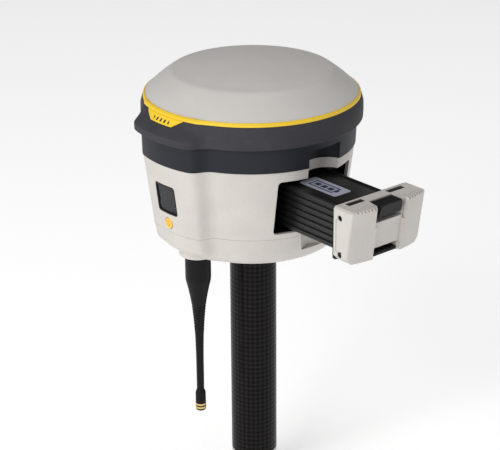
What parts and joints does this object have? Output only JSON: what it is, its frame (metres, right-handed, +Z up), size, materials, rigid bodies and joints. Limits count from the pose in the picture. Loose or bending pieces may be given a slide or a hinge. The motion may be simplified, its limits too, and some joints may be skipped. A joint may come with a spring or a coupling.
{
  "type": "gnss receiver",
  "caption": "Pole-mounted satellite survey receiver: lobed round head with rubber bumper, dome, sliding battery drawer, display, whip antenna, on its threaded pole top.",
  "frame": {"origin": "centre of the mouth of the threaded socket at the pole section's lower end", "axes": "+Z up the pole, +X the way the battery drawer pulls out, -Y towards the front lobe with the display"},
  "size_m": [0.196, 0.1492, 0.3009],
  "materials": {
    "carbon": "gloss",
    "anodised_aluminium": "satin",
    "black_fitting": "satin",
    "rubber_black": "matte",
    "shell_light": "satin",
    "band_dark": "matte",
    "bumper_rubber": "matte",
    "accent_yellow": "satin",
    "radome_grey": "satin",
    "display_glass": "gloss",
    "bezel_black": "satin",
    "display_dark": "gloss",
    "amber": "satin",
    "led_green": "gloss",
    "battery_black": "satin",
    "label_pale": "satin",
    "cell_wrap": "satin",
    "brass": "satin",
    "gold_contact": "gloss",
    "steel": "satin",
    "aluminium_cast": "matte",
    "circuit_board": "satin",
    "shield_tin": "satin",
    "ceramic": "matte",
    "switch_black": "matte",
    "nickel": "satin",
    "whip_rubber": "satin",
    "cable_black": "matte"
  },
  "bodies": {
    "pole": {"pole_ferrule": "anodised_aluminium", "pole_tube": "carbon", "pole_top_fitting": "black_fitting"},
    "washer": {"pole_washer": "rubber_black"},
    "drawer": {"battery_case": "battery_black", "battery_cells": "cell_wrap", "battery_label": "label_pale", "battery_contacts": "gold_contact", "cap_gasket": "rubber_black", "end_cap": "shell_light", "cap_screws": "black_fitting", "upper_latch_springs": "steel", "lower_latch_springs": "steel"},
    "upper_latch": {"upper_latch": "bezel_black"},
    "lower_latch": {"lower_latch": "bezel_black"},
    "power_button": {"power_button": "amber"},
    "port_cap": {"port_cap": "rubber_black"},
    "whip_core": {"whip_plug": "nickel"},
    "whip": {"whip_sleeve": "whip_rubber", "whip_element": "steel", "whip_tip": "whip_rubber", "tip_rings": "brass"},
    "head": {"accent_ring": "accent_yellow", "amplifier_board": "circuit_board", "amplifier_shield": "shield_tin", "antenna_connector": "nickel", "antenna_patch_lower": "ceramic", "antenna_patch_upper": "ceramic", "base_cover": "shell_light", "base_screws": "steel", "battery_bay": "bezel_black", "board_feet": "aluminium_cast", "board_shields": "shield_tin", "bumper": "bumper_rubber", "button_switch": "switch_black", "cellular_module": "shield_tin", "chassis_plate": "aluminium_cast", "contact_block": "bezel_black", "contact_pins": "gold_contact", "data_port": "bezel_black", "deck_screws": "steel", "display_board": "circuit_board", "display_panel": "display_dark", "display_window": "display_glass", "ground_plane": "aluminium_cast", "lower_housing": "shell_light", "main_board": "circuit_board", "mid_band": "band_dark", "radio_coax": "cable_black", "radio_module": "shield_tin", "radome": "radome_grey", "radome_seal": "rubber_black", "standoffs": "aluminium_cast", "status_leds": "led_green", "thread_insert": "brass", "vent_plug": "bezel_black", "window_bezel": "bezel_black"}
  },
  "joints": [
    {"name": "head_rise", "type": "slide", "parent": "pole", "child": "washer", "axis": [0, 0, 1], "range_m": [0, 0.01385]},
    {"name": "head_unscrew", "type": "hinge", "parent": "washer", "child": "head", "pos_m": [0, 0, 0.182], "axis": [0, 0, 1], "range_deg": [0, 2160]},
    {"name": "drawer_slide", "type": "slide", "parent": "head", "child": "drawer", "axis": [1, 0, 0], "range_m": [-0.062, 0.045]},
    {"name": "upper_latch_press", "type": "slide", "parent": "drawer", "child": "upper_latch", "axis": [0, 0, -1], "range_m": [0, 0.0025], "stiffness_N_per_m": 2500, "deforming": ["upper_latch_springs"]},
    {"name": "lower_latch_press", "type": "slide", "parent": "drawer", "child": "lower_latch", "axis": [0, 0, 1], "range_m": [0, 0.0025], "stiffness_N_per_m": 2500, "deforming": ["lower_latch_springs"]},
    {"name": "power_press", "type": "slide", "parent": "head", "child": "power_button", "axis": [0, 1, 0], "range_m": [0, 0.0005], "stiffness_N_per_m": 3000},
    {"name": "port_cap_pull", "type": "slide", "parent": "head", "child": "port_cap", "axis": [-1, 0, 0], "range_m": [0, 0.012]},
    {"name": "whip_lower", "type": "slide", "parent": "head", "child": "whip_core", "axis": [0, 0, -1], "range_m": [0, 0.00726]},
    {"name": "whip_unscrew", "type": "hinge", "parent": "whip_core", "child": "whip", "pos_m": [0, -0.046, 0.1804], "axis": [0, 0, -1], "range_deg": [0, 2880]}
  ],
  "couplings": [
    {"joint": "head_unscrew", "follows": "head_rise", "rad_per_m": 2721.1},
    {"joint": "whip_unscrew", "follows": "whip_lower", "rad_per_m": 6927.4}
  ]
}
